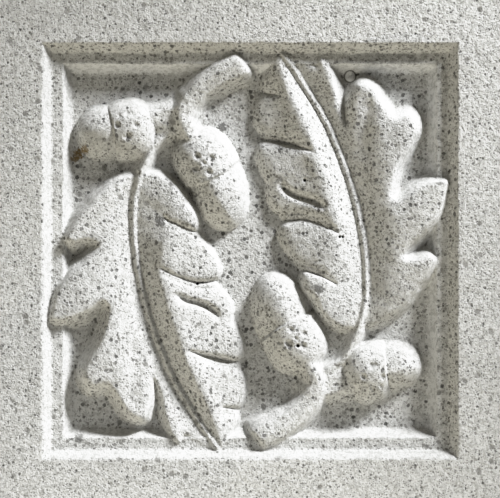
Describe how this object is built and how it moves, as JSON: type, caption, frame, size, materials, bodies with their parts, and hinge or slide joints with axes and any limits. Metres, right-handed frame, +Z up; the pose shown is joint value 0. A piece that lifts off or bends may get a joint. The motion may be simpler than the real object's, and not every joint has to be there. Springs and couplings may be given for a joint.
{
  "type": "architectural medallion",
  "caption": "Square cast-stone block with a stepped sunk panel that holds oak leaves and acorns in relief, to be built into or fixed on a wall.",
  "frame": {"origin": "middle of the flat back face", "axes": "+Y into the wall behind the block, so the carved face looks towards -Y; +Z up; +X to the right as one faces the carving"},
  "size_m": [0.305, 0.05, 0.305],
  "materials": {
    "cast_stone": "matte"
  },
  "bodies": {
    "root": {"medallion": "cast_stone"}
  },
  "joints": []
}
